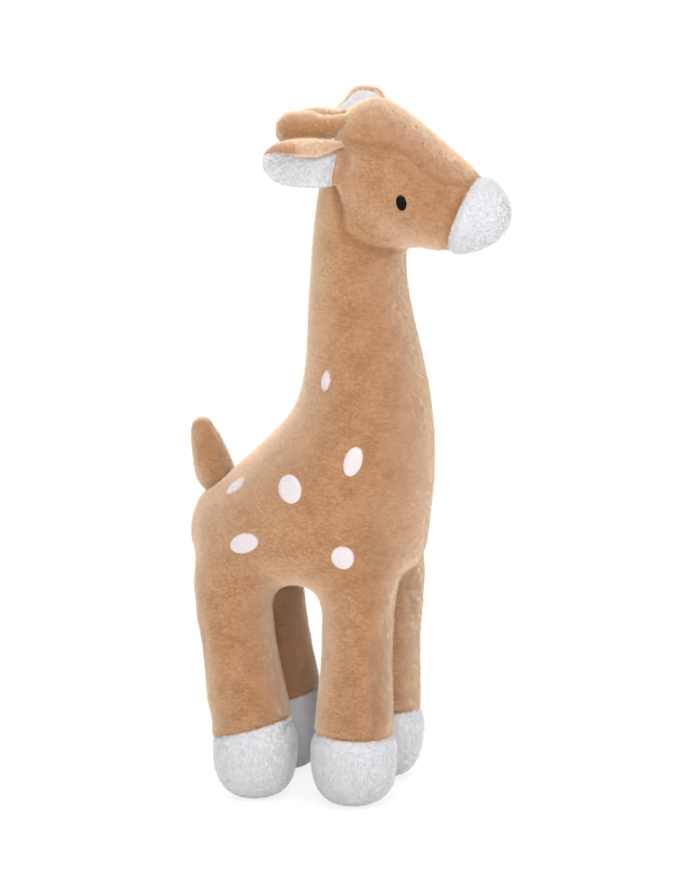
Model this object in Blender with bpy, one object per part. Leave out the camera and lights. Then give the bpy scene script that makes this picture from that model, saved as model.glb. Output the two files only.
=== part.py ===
# Standing plush giraffe: sewn panels of short-pile plush over a firm fibre filling.
# It faces -Y and stands on Z = 0. Its right side is at -X, the origin is under the middle of its outline.
# Every form is a stack of oval rings. Skins are shells that stay open where they join the next one.

import bpy
import bmesh
from math import cos, pi, radians, sin, sqrt, tau
from mathutils import Matrix, Vector

for leftover in list(bpy.data.objects):
    bpy.data.objects.remove(leftover, do_unlink=True)

# Fabric, seams and clearances
PLUSH = 0.003            # plush fabric with its pile, pressed
GAP = 0.0003             # between neighbours that touch
THREAD = 0.0008          # raised satin stitch
OVERRUN = 0.004          # how far a cutter runs past what it cuts

# Body and neck
BELLY_HEIGHT = 0.1153
TRUNK_DEPTH = 0.098      # belly to shoulder
TRUNK_LENGTH = 0.130
TRUNK_WIDTH = 0.098
TRUNK_FORWARD = -0.006   # middle of the trunk, forward of the middle of the stance
NECK_LENGTH = 0.084      # shoulder to neck seam
NECK_WIDTH = 0.0532      # at the neck seam
NECK_FORWARD_SHARE = 0.2115   # of the trunk's length, from its middle
GUSSET_WIDTH = 0.030     # belly gusset between the legs
GUSSET_RISE = 0.006      # how far the gusset climbs above the belly

# Head
HEAD_LENGTH = 0.082      # from the muzzle seam to the back of the crown, along the head
HEAD_DEPTH = 0.070
HEAD_WIDTH = 0.061
MUZZLE_LENGTH = 0.0252
MUZZLE_DEPTH = 0.0490
MUZZLE_WIDTH = 0.0450
MUZZLE_REACH = 0.0587    # middle of the muzzle seam, forward of the neck's middle
MUZZLE_RISE = 0.0210     # and above the neck seam
HEAD_PITCH = radians(20.7)
NAPE_RISE = 0.052        # top of the neck form inside the head, above the neck seam
NAPE_LEAN = 0.0010       # how far the nape's top lies forward of the neck seam's middle
FOREHEAD_WIDTH = 0.044   # forehead gusset at the crown
BRIDGE_WIDTH = 0.032     # forehead gusset at the muzzle seam
FOREHEAD_RISE = 0.012    # lowest edge of the forehead gusset above the head's middle line

# Legs and hooves
LEG_WIDTH = 0.0452
LEG_SPREAD = 0.0262      # hip joint from the middle plane
LEG_SPLAY = 0.0036       # how far a hoof stands out past its hip
HIP_DROP = 0.0030        # hip joints below the belly
FRONT_HIP_SHARE = 0.2846      # of the trunk's length, forward of its middle
REAR_HIP_SHARE = -0.2615
FRONT_LEG_LEAN = 0.0024  # how far the right front hoof stands behind its hip
REAR_LEG_LEAN = 0.0136   # how far the right rear hoof stands ahead of its hip
LEFT_SET_BACK = 0.0038   # how far the left hooves stand behind the right ones
HOOF_HEIGHT = 0.0394
HOOF_WIDTH = 0.0480
SOLE_WIDTH = 0.0240      # flat of the hoof on the floor

# Ears
EAR_LENGTH = 0.0500
EAR_WIDTH = 0.0330       # measured round the curl
EAR_LAYER = 0.0030
EAR_CURL = radians(62)
EAR_ROOT_WIDTH = 0.0140
EAR_SET_BACK = 0.0020    # roots behind the neck's middle
EAR_SPREAD = 0.0262
EAR_ROOT_RISE = 0.0510   # above the neck seam
RIGHT_EAR_OUTWARD = radians(56)  # from straight back
LEFT_EAR_OUTWARD = radians(65)
RIGHT_EAR_RISE = radians(12)
LEFT_EAR_RISE = radians(22)
RIGHT_LINING_DIP = radians(37)   # how far the lining faces down
LEFT_LINING_DIP = radians(-90)   # the left ear is flipped, so its lining faces up
LINING_START = 0.0100       # from the ear's root

# Horns
HORN_LENGTH = 0.0296
HORN_STEM_WIDTH = 0.0130
HORN_ROOT_WIDTH = 0.0140
HORN_KNOB_WIDTH = 0.0215
HORN_SET_BACK = 0.0130   # roots behind the neck's middle
HORN_SPREAD = 0.0105
HORN_ROOT_RISE = 0.0655  # above the neck seam
HORN_SPLAY = 0.0010      # how far a knob stands out past its root
HORN_DROP = 0.0042       # how far a knob's tip lies below its root
HORN_SLUMP = 0.0034      # how much lower the left knob lies

# Tail
TAIL_LENGTH = 0.0315
TAIL_WIDTH = 0.0185
TAIL_FORWARD_SHARE = -0.3846  # root's place along the trunk's length, from its middle
TAIL_RISE_SHARE = 0.5357      # and up its depth
TAIL_TILT = radians(17)  # backward from upright

# Embroidery
EYE_LENGTH = 0.0090
EYE_WIDTH = 0.0060
EYE_SET_BACK = 0.0280    # behind the muzzle seam
EYE_RISE = radians(1.6)  # above the middle of the head's side
SPOT_LENGTH = 0.0165     # the shoulder spot
SPOT_WIDTH = 0.0100

# Colours, linear
TAN = (0.462, 0.232, 0.122)
WHITE = (0.760, 0.745, 0.745)
SPOT_WHITE = (0.680, 0.640, 0.630)
BLACK = (0.008, 0.008, 0.009)
FIBRE = (0.820, 0.810, 0.780)

# Where the outline's middle lies, forward of the middle of the stance
OUTLINE_FORWARD = 0.0171

SHOULDER_HEIGHT = BELLY_HEIGHT + TRUNK_DEPTH
NECK_SEAM_HEIGHT = SHOULDER_HEIGHT + NECK_LENGTH
NECK_FORWARD = TRUNK_FORWARD + TRUNK_LENGTH * NECK_FORWARD_SHARE
HIP_HEIGHT = BELLY_HEIGHT - HIP_DROP

RIGHT = -1
LEFT = 1
SIDES = ((RIGHT, "right"), (LEFT, "left"))

# Faces round each form
TRUNK_SIDES = 22
HEAD_SIDES = 20
LEG_SIDES = 16
SMALL_SIDES = 12
SPOT_SIDES = 12

# Trunk, belly to shoulder: rise share, middle's forward share of the length,
# half length share, half width share
TRUNK_SHARES = (
    (0.000, 0.000, 0.255, 0.250),
    (0.022, 0.000, 0.365, 0.355),
    (0.071, 0.000, 0.438, 0.423),
    (0.133, -0.001, 0.477, 0.464),
    (0.200, -0.002, 0.496, 0.488),
    (0.327, 0.006, 0.499, 0.500),
    (0.440, 0.026, 0.488, 0.498),
    (0.551, 0.078, 0.443, 0.480),
    (0.663, 0.132, 0.397, 0.454),
    (0.776, 0.178, 0.357, 0.424),
    (0.888, 0.218, 0.317, 0.393),
    (1.000, 0.240, 0.288, 0.367),
)

# Neck, shoulder to neck seam: rise share, taper share towards the seam's size, lean share
NECK_SHARES = (
    (0.17, 0.26, -0.10),
    (0.32, 0.44, 0.10),
    (0.48, 0.61, 0.48),
    (0.64, 0.76, 0.85),
    (0.82, 0.92, 0.97),
    (1.00, 1.00, 1.00),
)

# Head, muzzle seam to the back of the crown: set-back share of the length,
# top and underside shares of the depth from the middle line, half width share of the width
HEAD_SHARES = (
    (0.14, 0.408, 0.394, 0.416),
    (0.29, 0.460, 0.432, 0.462),
    (0.46, 0.521, 0.470, 0.496),
    (0.62, 0.572, 0.474, 0.503),
    (0.75, 0.600, 0.440, 0.480),
    (0.85, 0.570, 0.360, 0.430),
    (0.93, 0.484, 0.200, 0.345),
    (0.98, 0.396, 0.000, 0.235),
    (1.00, 0.335, -0.150, 0.120),
)

# Muzzle, seam to tip: reach share, size share of the seam's, drop share of the depth
MUZZLE_SHARES = (
    (0.00, 0.500, 0.000),
    (0.16, 0.480, -0.022),
    (0.34, 0.446, -0.040),
    (0.52, 0.395, -0.054),
    (0.70, 0.320, -0.068),
    (0.85, 0.236, -0.078),
    (0.95, 0.145, -0.080),
    (1.00, 0.065, -0.080),
)

# Nape, neck seam to its top: rise share, half width share of the neck's width
NAPE_SHARES = (
    (0.00, 0.500),
    (0.20, 0.486),
    (0.45, 0.460),
    (0.66, 0.432),
    (0.82, 0.380),
    (0.94, 0.270),
    (1.00, 0.130),
)

# Leg, hoof seam to hip: rise share, radius share of the leg's width
LEG_SHARES = (
    (0.00, 0.523),
    (0.16, 0.510),
    (0.36, 0.484),
    (0.58, 0.468),
    (0.78, 0.478),
    (1.00, 0.500),
)
DOME_SHARES = (0.22, 0.44, 0.62, 0.76)   # of a right angle, hip to the stuffing hole

# Hoof, floor to seam: rise share, share of the way from the sole's radius to the full one
HOOF_SHARES = (
    (0.00, 0.00),
    (0.04, 0.28),
    (0.12, 0.56),
    (0.25, 0.81),
    (0.42, 0.96),
    (0.62, 1.00),
    (0.82, 0.99),
    (1.00, 0.97),
)

# Horn knob: reach share from root to tip, radius share from stem to knob
HORN_SHARES = ((0.30, 0.00), (0.45, 0.35), (0.58, 0.85), (0.72, 1.00), (0.86, 0.84), (0.95, 0.45))
HORN_TIP_SHARE = 0.22

# Tail: reach share from root to tip, radius share
TAIL_SHARES = ((0.16, 0.86), (0.38, 1.04), (0.60, 0.98), (0.80, 0.84), (0.94, 0.55))
TAIL_TIP_SHARE = 0.24

# Ear leaf past its root: reach share from root to tip, width share
EAR_SHARES = (
    (0.24, 0.78),
    (0.42, 0.94),
    (0.58, 1.00),
    (0.74, 0.95),
    (0.87, 0.76),
    (0.96, 0.46),
    (1.00, 0.22),
)
EAR_ACROSS_SHARES = (-1.0, -0.66, -0.33, 0.0, 0.33, 0.66, 1.0)
LINING_SHARE = 0.88      # lining's width and reach of the ear's

# Embroidered spots on each side: name, rise share from belly to neck seam, angle from the nose,
# length share, width share, tilt of the long way from upright towards the nose
SPOT_SHARES = (
    ("neck", 0.629, radians(114), 0.75, 0.65, radians(6)),
    ("shoulder", 0.407, radians(71), 1.00, 1.00, radians(14)),
    ("back", 0.321, radians(100), 0.96, 1.20, radians(-14)),
    ("flank", 0.146, radians(110), 1.00, 1.02, radians(78)),
    ("side", 0.124, radians(60), 0.78, 1.18, radians(0)),
    ("rump", 0.302, radians(140), 0.86, 0.86, radians(35)),
)


# Helpers: rings, lofts, cuts

def point(forward, left, height):
    """A place given forward, to the giraffe's left and up, as the model's X, Y and Z."""
    return Vector((left, OUTLINE_FORWARD - forward, height))


def ring(middle, across, up, sides):
    """An oval of points round a middle, with two half-axis vectors."""
    return [
        middle + across * cos(tau * n / sides) + up * sin(tau * n / sides)
        for n in range(sides)
    ]


def fabric(name, colour, roughness):
    """A fabric's plain material."""
    finish = bpy.data.materials.new(name)
    finish.use_nodes = True
    shader = finish.node_tree.nodes["Principled BSDF"]
    shader.inputs["Base Color"].default_value = (*colour, 1.0)
    shader.inputs["Roughness"].default_value = roughness
    shader.inputs["Metallic"].default_value = 0.0
    return finish


def finished(mesh_source, name, colour, roughness, pivot=None):
    """The object of a finished bmesh, its faces outward, its origin on its pivot."""
    bmesh.ops.recalc_face_normals(mesh_source, faces=mesh_source.faces)
    mesh = bpy.data.meshes.new(name)
    mesh_source.to_mesh(mesh)
    mesh_source.free()
    mesh.shade_smooth()
    piece = bpy.data.objects.new(name, mesh)
    bpy.context.scene.collection.objects.link(piece)
    if pivot is not None:
        mesh.transform(Matrix.Translation(-pivot))
        piece.location = pivot
    mesh.materials.append(fabric(name + "_fabric", colour, roughness))
    return piece


def loft(rings, closed=False):
    """A closed bmesh skin over rings of equal counts: capped at both ends, or joined end to start.
    Each four-sided patch folds along its shorter way, so nested skins fold alike and keep their gap."""
    form = bmesh.new()
    loops = [[form.verts.new(place) for place in places] for places in rings]
    count = len(loops[0])
    pairs = list(zip(loops, loops[1:]))
    if closed:
        pairs.append((loops[-1], loops[0]))
    else:
        form.faces.new(loops[0])
        form.faces.new(loops[-1])
    for lower, upper in pairs:
        for n in range(count):
            m = (n + 1) % count
            if (lower[n].co - upper[m].co).length < (lower[m].co - upper[n].co).length:
                form.faces.new((lower[n], lower[m], upper[m]))
                form.faces.new((lower[n], upper[m], upper[n]))
            else:
                form.faces.new((lower[n], lower[m], upper[n]))
                form.faces.new((lower[m], upper[m], upper[n]))
    return form


def guide(form, name):
    """A cutter, which isn't part of the toy."""
    bmesh.ops.recalc_face_normals(form, faces=form.faces)
    mesh = bpy.data.meshes.new(name)
    form.to_mesh(mesh)
    form.free()
    tool = bpy.data.objects.new(name, mesh)
    bpy.context.scene.collection.objects.link(tool)
    tool.hide_render = True
    tool.display_type = "WIRE"
    return tool


def cut(piece, tool, operation="DIFFERENCE"):
    """Cuts a piece by a tool, or keeps what they share, or joins the tool to it."""
    step = piece.modifiers.new(operation.title() + " " + tool.name, "BOOLEAN")
    step.operation = operation
    step.solver = "EXACT"
    step.object = tool


def ball(name, middle, radius):
    """A round cutter whose facets stay clear of a ball of the given radius."""
    form = bmesh.new()
    segments = 24
    bmesh.ops.create_uvsphere(
        form,
        u_segments=segments,
        v_segments=segments // 2,
        radius=radius / cos(pi / segments) ** 2,
        matrix=Matrix.Translation(middle),
    )
    return guide(form, name)


def block(name, low, high):
    """A box cutter between two corners."""
    form = bmesh.new()
    bmesh.ops.create_cube(form, size=1)
    bmesh.ops.scale(form, verts=form.verts, vec=high - low)
    bmesh.ops.translate(form, verts=form.verts, vec=(low + high) / 2)
    return guide(form, name)


# Body and neck: one skin of two side panels and a belly gusset, over one filling

def trunk_rows():
    """Body rows from belly to neck seam: height, middle's forward place, half length, half width."""
    rows = [
        (
            BELLY_HEIGHT + TRUNK_DEPTH * up,
            TRUNK_FORWARD + TRUNK_LENGTH * forward,
            TRUNK_LENGTH * half_length,
            TRUNK_WIDTH * half_width,
        )
        for up, forward, half_length, half_width in TRUNK_SHARES
    ]
    shoulder = rows[-1]
    for up, taper, lean in NECK_SHARES:
        rows.append((
            SHOULDER_HEIGHT + NECK_LENGTH * up,
            shoulder[1] + (NECK_FORWARD - shoulder[1]) * lean,
            shoulder[2] + (NECK_WIDTH / 2 - shoulder[2]) * taper,
            shoulder[3] + (NECK_WIDTH / 2 - shoulder[3]) * taper,
        ))
    return rows


def trunk_rings(inset, top, sides):
    """Rings of the body's form, drawn in by an inset, raised off the belly by it, and ended at a height."""
    lift = (top - BELLY_HEIGHT) / (NECK_SEAM_HEIGHT - BELLY_HEIGHT)
    rings = []
    for height, forward, half_length, half_width in trunk_rows():
        rise = inset * max(0, 1 - (height - BELLY_HEIGHT) / (TRUNK_DEPTH / 2))
        rings.append(ring(
            point(forward, 0, top - (NECK_SEAM_HEIGHT - height) * lift + rise),
            Vector((half_width - inset, 0, 0)),
            Vector((0, half_length - inset, 0)),
            sides,
        ))
    return rings


def hip(front, side):
    """The middle of a leg's rounded top, which its swing turns about."""
    share = FRONT_HIP_SHARE if front else REAR_HIP_SHARE
    return point(TRUNK_FORWARD + TRUNK_LENGTH * share, side * LEG_SPREAD, HIP_HEIGHT)


def hoof_middle(front, side):
    """The middle of a hoof on the floor."""
    lean = FRONT_LEG_LEAN if front else -REAR_LEG_LEAN
    if side == LEFT:
        lean += LEFT_SET_BACK
    middle = hip(front, side) + Vector((side * LEG_SPLAY, lean, 0))
    middle.z = 0
    return middle


LEGS = [
    ("front" if front else "rear", label, front, side)
    for front in (True, False)
    for side, label in SIDES
]
TAIL_ROOT = point(
    TRUNK_FORWARD + TRUNK_LENGTH * TAIL_FORWARD_SHARE, 0, BELLY_HEIGHT + TRUNK_DEPTH * TAIL_RISE_SHARE
)

neck_top = NECK_SEAM_HEIGHT - GAP / 2
skin_rings = trunk_rings(0, neck_top, TRUNK_SIDES) + trunk_rings(PLUSH, neck_top, TRUNK_SIDES)[::-1]

trunk_cutters = [
    ball(f"hip_room_{end}_{label}", hip(front, side), LEG_WIDTH / 2 + GAP)
    for end, label, front, side in LEGS
]
trunk_cutters.append(ball("tail_room", TAIL_ROOT, TAIL_WIDTH / 2 + GAP))

far = TRUNK_LENGTH + TRUNK_WIDTH
gusset_low = Vector((-GUSSET_WIDTH / 2, -far, BELLY_HEIGHT - OVERRUN))
gusset_high = Vector((GUSSET_WIDTH / 2, far, BELLY_HEIGHT + GUSSET_RISE))
seam = Vector((GAP, 0, GAP))
gusset_room = block("gusset_room", gusset_low - seam, gusset_high + seam)
gusset_cut = block("gusset_cut", gusset_low, gusset_high)

for side, label in SIDES:
    panel = finished(loft(skin_rings), f"body_panel_{label}", TAN, 0.95)
    cut(panel, block(
        f"body_half_{label}",
        Vector((min(side * far, side * GAP / 2), -far, BELLY_HEIGHT - OVERRUN)),
        Vector((max(side * far, side * GAP / 2), far, NECK_SEAM_HEIGHT + OVERRUN)),
    ), "INTERSECT")
    cut(panel, gusset_room)
    for tool in trunk_cutters:
        cut(panel, tool)

gusset = finished(loft(skin_rings), "belly_gusset", TAN, 0.95)
cut(gusset, gusset_cut, "INTERSECT")
for tool in trunk_cutters:
    cut(gusset, tool)

stuffing = finished(
    loft(trunk_rings(PLUSH + GAP, neck_top, TRUNK_SIDES)), "body_filling", FIBRE, 1.0
)
for tool in trunk_cutters:
    cut(stuffing, tool)


# Legs: a tube of plush with a rounded top, a white hoof cap, and a filling that runs through both

def leg_middle(front, side, height):
    """The leg's middle line leans evenly from the hoof seam up to the hip."""
    share = (height - HOOF_HEIGHT) / (HIP_HEIGHT - HOOF_HEIGHT)
    share = min(max(share, 0), 1)
    foot = hoof_middle(front, side)
    middle = foot + (hip(front, side) - foot) * share
    middle.z = height
    return middle


def level_ring(middle, radius, sides):
    """A level round ring."""
    return ring(middle, Vector((radius, 0, 0)), Vector((0, radius, 0)), sides)


def leg_rings(front, side, inset, bottom, dome, sides):
    """Rings of a leg from a height up over its rounded top, drawn in by an inset."""
    rings = []
    for up, share in LEG_SHARES:
        height = bottom + (HIP_HEIGHT - bottom) * up
        rings.append(level_ring(leg_middle(front, side, height), LEG_WIDTH * share - inset, sides))
    radius = LEG_WIDTH / 2 - inset
    for share in dome:
        middle = hip(front, side) + Vector((0, 0, radius * sin(share * pi / 2)))
        rings.append(level_ring(middle, radius * cos(share * pi / 2), sides))
    return rings


def hoof_rings(front, side, inset, top, sides):
    """Rings of a hoof from its sole to a height, drawn in by an inset."""
    lift = (top - inset) / HOOF_HEIGHT
    rings = []
    for up, share in HOOF_SHARES:
        radius = SOLE_WIDTH / 2 + (HOOF_WIDTH - SOLE_WIDTH) / 2 * share
        middle = hoof_middle(front, side) + Vector((0, 0, inset + HOOF_HEIGHT * up * lift))
        rings.append(level_ring(middle, radius - inset, sides))
    return rings


for end, label, front, side in LEGS:
    pivot = hip(front, side)
    seam_low = HOOF_HEIGHT - GAP / 2
    seam_high = HOOF_HEIGHT + GAP / 2
    outer = leg_rings(front, side, 0, seam_high, DOME_SHARES, LEG_SIDES)
    inner = leg_rings(front, side, PLUSH, seam_high, DOME_SHARES, LEG_SIDES)
    finished(loft(outer + inner[::-1], closed=True), f"leg_{end}_{label}", TAN, 0.95, pivot)

    outer = hoof_rings(front, side, 0, seam_low, LEG_SIDES)
    inner = hoof_rings(front, side, PLUSH, seam_low, LEG_SIDES)
    finished(loft(outer + inner[::-1]), f"hoof_{end}_{label}", WHITE, 0.95, pivot)

    inset = PLUSH + GAP
    lower = hoof_rings(front, side, inset, HOOF_HEIGHT, LEG_SIDES)[:-1]
    upper = leg_rings(front, side, inset, HOOF_HEIGHT, DOME_SHARES, LEG_SIDES)
    finished(loft(lower + upper), f"leg_{end}_{label}_filling", FIBRE, 1.0, pivot)


# Head: two side panels and a forehead gusset over one filling, with the nape inside its back

HEAD_AXIS = Vector((0, -cos(HEAD_PITCH), -sin(HEAD_PITCH)))
HEAD_UP = Vector((0, -sin(HEAD_PITCH), cos(HEAD_PITCH)))
MUZZLE_SEAM = point(NECK_FORWARD + MUZZLE_REACH, 0, NECK_SEAM_HEIGHT + MUZZLE_RISE)
NECK_MIDDLE = point(NECK_FORWARD, 0, NECK_SEAM_HEIGHT)
head_bottom = NECK_SEAM_HEIGHT + GAP / 2


def head_row_ring(set_back, top, underside, half_width, sides):
    """One ring across the head, given from the head's middle line."""
    middle = MUZZLE_SEAM - HEAD_AXIS * set_back + HEAD_UP * ((top - underside) / 2)
    return ring(middle, Vector((half_width, 0, 0)), HEAD_UP * ((top + underside) / 2), sides)


def head_rows(inset, front_end):
    """Head rows: set-back, top, underside, half width. The first lies at the muzzle seam."""
    rows = [(front_end, MUZZLE_DEPTH / 2 - inset, MUZZLE_DEPTH / 2 - inset, MUZZLE_WIDTH / 2 - inset)]
    squeeze = (HEAD_LENGTH - inset) / HEAD_LENGTH
    for set_back, top, underside, half_width in HEAD_SHARES:
        rows.append((
            HEAD_LENGTH * set_back * squeeze,
            HEAD_DEPTH * top - inset,
            HEAD_DEPTH * underside - inset,
            HEAD_WIDTH * half_width - inset,
        ))
    return rows


def head_rings(inset, front_end, sides):
    """Rings of the head's own form, drawn in by an inset."""
    return [head_row_ring(*row, sides) for row in head_rows(inset, front_end)]


def nape_rings(inset, overrun, sides):
    """Rings of the neck's top inside the head, drawn in by an inset, the first lowered by an overrun."""
    rise = NECK_SEAM_HEIGHT + NAPE_RISE - inset - head_bottom
    rings = []
    for up, share in NAPE_SHARES:
        middle = point(NECK_FORWARD + NAPE_LEAN * up, 0, head_bottom + rise * up)
        rings.append(level_ring(middle, NECK_WIDTH * share - inset, sides))
    for place in rings[0]:
        place.z -= overrun
    return rings


def muzzle_rings(inset, start, sides):
    """Rings of the muzzle from its seam to its tip, drawn in by an inset."""
    rings = []
    reach = MUZZLE_LENGTH - inset - start
    for out, size, drop in MUZZLE_SHARES:
        middle = MUZZLE_SEAM + HEAD_AXIS * (start + reach * out) - HEAD_UP * (MUZZLE_DEPTH * drop)
        rings.append(ring(
            middle,
            Vector((MUZZLE_WIDTH * size - inset, 0, 0)),
            HEAD_UP * (MUZZLE_DEPTH * size - inset),
            sides,
        ))
    return rings


def ear_root(side):
    return point(NECK_FORWARD - EAR_SET_BACK, side * EAR_SPREAD, NECK_SEAM_HEIGHT + EAR_ROOT_RISE)


def horn_root(side):
    return point(NECK_FORWARD - HORN_SET_BACK, side * HORN_SPREAD, NECK_SEAM_HEIGHT + HORN_ROOT_RISE)


nape_outside = guide(loft(nape_rings(0, 0, HEAD_SIDES)), "nape_outside")
nape_inside = guide(loft(nape_rings(PLUSH, OVERRUN, HEAD_SIDES)), "nape_inside")
head_inside = guide(loft(head_rings(PLUSH, -OVERRUN, HEAD_SIDES)), "head_inside")

head_cutters = []
for side, label in SIDES:
    head_cutters.append(ball(f"ear_room_{label}", ear_root(side), EAR_ROOT_WIDTH / 2 + GAP))
    head_cutters.append(ball(f"horn_room_{label}", horn_root(side), HORN_ROOT_WIDTH / 2 + GAP))


def forehead_tool(name, spare):
    """A wedge over the top of the head that parts the forehead gusset from the side panels."""
    rings = []
    for set_back, width in ((-OVERRUN, BRIDGE_WIDTH), (HEAD_LENGTH + OVERRUN, FOREHEAD_WIDTH)):
        low = MUZZLE_SEAM - HEAD_AXIS * set_back + HEAD_UP * (FOREHEAD_RISE - spare)
        high = low + HEAD_UP * (HEAD_DEPTH + spare)
        out = Vector((width / 2 + spare, 0, 0))
        rings.append([low - out, low + out, high + out, high - out])
    return guide(loft(rings), name)


forehead_room = forehead_tool("forehead_room", GAP)
forehead_cut = forehead_tool("forehead_cut", 0)


def head_skin(name):
    """The head's whole skin, which its panels are cut from."""
    skin = finished(loft(head_rings(0, GAP / 2, HEAD_SIDES)), name, TAN, 0.95, NECK_MIDDLE)
    cut(skin, nape_outside, "UNION")
    cut(skin, head_inside)
    cut(skin, nape_inside)
    return skin


for side, label in SIDES:
    panel = head_skin(f"head_panel_{label}")
    cut(panel, block(
        f"head_half_{label}",
        Vector((min(side * far, side * GAP / 2), -far, NECK_SEAM_HEIGHT - far)),
        Vector((max(side * far, side * GAP / 2), far, NECK_SEAM_HEIGHT + far)),
    ), "INTERSECT")
    cut(panel, forehead_room)
    for tool in head_cutters:
        cut(panel, tool)

gusset = head_skin("forehead_gusset")
cut(gusset, forehead_cut, "INTERSECT")
for tool in head_cutters:
    cut(gusset, tool)

inset = PLUSH + GAP
stuffing = finished(
    loft(muzzle_rings(inset, 0, HEAD_SIDES)[:0:-1] + head_rings(inset, 0, HEAD_SIDES)),
    "head_filling", FIBRE, 1.0, NECK_MIDDLE,
)
cut(stuffing, guide(loft(nape_rings(inset, 0, HEAD_SIDES)), "nape_filling"), "UNION")
for tool in head_cutters:
    cut(stuffing, tool)

outer = muzzle_rings(0, GAP / 2, HEAD_SIDES)
inner = muzzle_rings(PLUSH, GAP / 2, HEAD_SIDES)
finished(loft(outer[::-1] + inner), "muzzle_cap", WHITE, 0.95, NECK_MIDDLE)


# Horns and tail: stuffed knobs with a rounded root that turns in its seat

def knob_rings(root, tip, root_radius, stretch, tip_share, sides):
    """Rings along a knob: its round root, the given stretch of reach and radius, and its blunt tip."""
    axis = (tip - root).normalized()
    length = (tip - root).length
    across = axis.orthogonal().normalized()
    up = axis.cross(across)
    places = []
    for share in (-0.80, -0.58, -0.34, -0.10, 0.12):
        places.append((root_radius * sin(share * pi / 2), root_radius * cos(share * pi / 2)))
    places += [(length * reach, radius) for reach, radius in stretch]
    places.append((length, stretch[-1][1] * tip_share))
    return [
        ring(root + axis * reach, across * radius, up * radius, sides) for reach, radius in places
    ]


for side, label in SIDES:
    root = horn_root(side)
    drop = HORN_DROP + (HORN_SLUMP if side == LEFT else 0)
    lean = Vector((side * HORN_SPLAY, sqrt(HORN_LENGTH ** 2 - drop ** 2), -drop))
    stretch = [
        (reach, (HORN_STEM_WIDTH + (HORN_KNOB_WIDTH - HORN_STEM_WIDTH) * share) / 2)
        for reach, share in HORN_SHARES
    ]
    rings = knob_rings(root, root + lean, HORN_ROOT_WIDTH / 2, stretch, HORN_TIP_SHARE, SMALL_SIDES)
    finished(loft(rings), f"horn_{label}", TAN, 0.95, root)

tip = TAIL_ROOT + Vector((0, sin(TAIL_TILT), cos(TAIL_TILT))) * TAIL_LENGTH
stretch = [(reach, TAIL_WIDTH / 2 * share) for reach, share in TAIL_SHARES]
rings = knob_rings(TAIL_ROOT, tip, TAIL_WIDTH / 2, stretch, TAIL_TIP_SHARE, SMALL_SIDES)
finished(loft(rings), "tail", TAN, 0.95, TAIL_ROOT)


# Ears: a tan back and a white lining, two curled leaves, the back with a rounded root

def ear_frame(side):
    """The ear's directions: from root to tip, the way its lining faces, and across its width."""
    outward = LEFT_EAR_OUTWARD if side == LEFT else RIGHT_EAR_OUTWARD
    rise = LEFT_EAR_RISE if side == LEFT else RIGHT_EAR_RISE
    dip = LEFT_LINING_DIP if side == LEFT else RIGHT_LINING_DIP
    out = Vector((
        side * sin(outward) * cos(rise),
        cos(outward) * cos(rise),
        sin(rise),
    ))
    facing = Vector((0, -cos(dip), -sin(dip)))
    facing = (facing - out * facing.dot(out)).normalized()
    across = facing.cross(out)
    return out, facing, across * (1 if across.z > 0 else -1)


def ear_leaf(side, low, high, start, fullness):
    """A curled leaf between two depths towards the lining's side, as rings from root to tip."""
    out, facing, across = ear_frame(side)
    bend = EAR_WIDTH / 2 / EAR_CURL
    rows = [(start, EAR_ROOT_WIDTH)]
    rows += [
        (EAR_LENGTH * reach * fullness, EAR_WIDTH * share)
        for reach, share in EAR_SHARES
        if EAR_LENGTH * reach * fullness > start
    ]
    rings = []
    for reach, width in rows:
        middle = ear_root(side) + out * reach + facing * bend
        inner = []
        outer = []
        for place in EAR_ACROSS_SHARES:
            angle = place * width * fullness / 2 / bend
            normal = facing * cos(angle) - across * sin(angle)
            inner.append(middle - normal * (bend - high))
            outer.append(middle - normal * (bend - low))
        rings.append(inner + outer[::-1])
    return rings


for side, label in SIDES:
    root = ear_root(side)
    back = finished(
        loft(ear_leaf(side, -EAR_LAYER, 0, EAR_ROOT_WIDTH / 4, 1.0)),
        f"ear_back_{label}", TAN, 0.95, root,
    )
    form = bmesh.new()
    bmesh.ops.create_uvsphere(
        form,
        u_segments=SMALL_SIDES,
        v_segments=SMALL_SIDES // 2,
        radius=EAR_ROOT_WIDTH / 2,
        matrix=Matrix.Translation(root),
    )
    cut(back, guide(form, f"ear_root_{label}"), "UNION")
    leaf = ear_leaf(side, GAP, EAR_LAYER, LINING_START, LINING_SHARE)
    finished(loft(leaf), f"ear_lining_{label}", WHITE, 0.95, root)


# Embroidery: thin patches of satin stitch that follow the skin

def trunk_surface(rise, angle, side):
    """A place on the body's skin, by its rise from belly to neck seam and its angle from the nose."""
    height = BELLY_HEIGHT + (NECK_SEAM_HEIGHT - BELLY_HEIGHT) * rise
    rows = trunk_rows()
    upper = next(n for n, row in enumerate(rows) if row[0] >= height and n)
    low, high = Vector(rows[upper - 1]), Vector(rows[upper])
    row = low + (high - low) * ((height - low[0]) / (high[0] - low[0]))
    return point(row[1] + row[2] * cos(angle), side * row[3] * sin(angle), height)


def head_surface(set_back, angle, side):
    """A place on the head's skin, by its distance behind the muzzle seam and its angle above the side."""
    rows = head_rows(0, 0)
    upper = next(n for n, row in enumerate(rows) if row[0] >= set_back * HEAD_LENGTH and n)
    low, high = Vector(rows[upper - 1]), Vector(rows[upper])
    row = low + (high - low) * ((set_back * HEAD_LENGTH - low[0]) / (high[0] - low[0]))
    middle = MUZZLE_SEAM - HEAD_AXIS * row[0] + HEAD_UP * ((row[1] - row[2]) / 2)
    out = Vector((side * row[3] * cos(angle), 0, 0))
    return middle + out + HEAD_UP * ((row[1] + row[2]) / 2 * sin(angle))


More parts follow.
